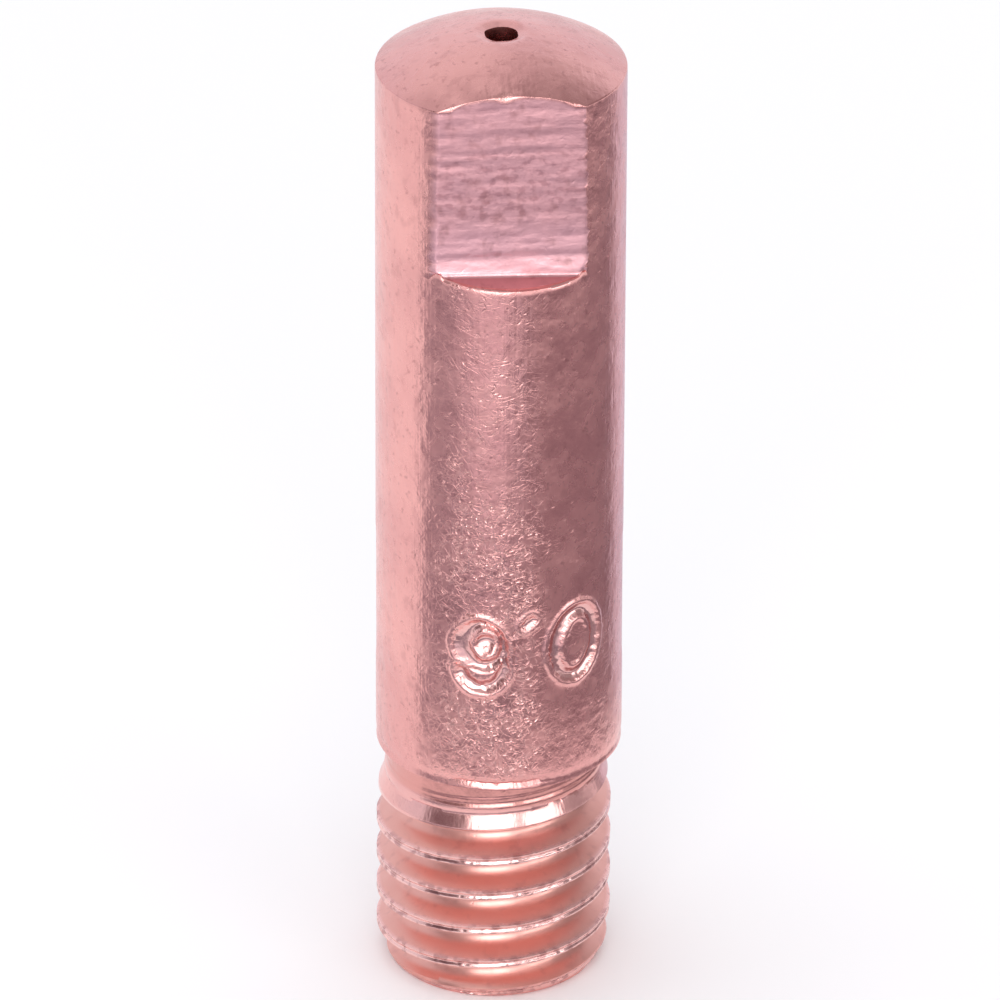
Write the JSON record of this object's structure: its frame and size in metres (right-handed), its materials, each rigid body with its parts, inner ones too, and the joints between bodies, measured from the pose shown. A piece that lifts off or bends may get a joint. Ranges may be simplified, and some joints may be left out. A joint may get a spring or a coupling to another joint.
{
  "type": "welding contact tip",
  "caption": "Turned copper contact tip for a wire-feed welding torch: domed nose with wrench flats, round body, axial wire bore and a threaded shank.",
  "frame": {"origin": "centre of the flat threaded end, on which the tip stands", "axes": "+Z along the wire bore towards the domed nose; the two wrench flats face -Y and +Y"},
  "size_m": [0.006, 0.006, 0.025],
  "materials": {
    "copper": "pinkish copper, turned and tumbled to a dull satin, with fine scratches and light tarnish"
  },
  "bodies": {
    "root": {"contact_tip": "copper"}
  },
  "joints": []
}
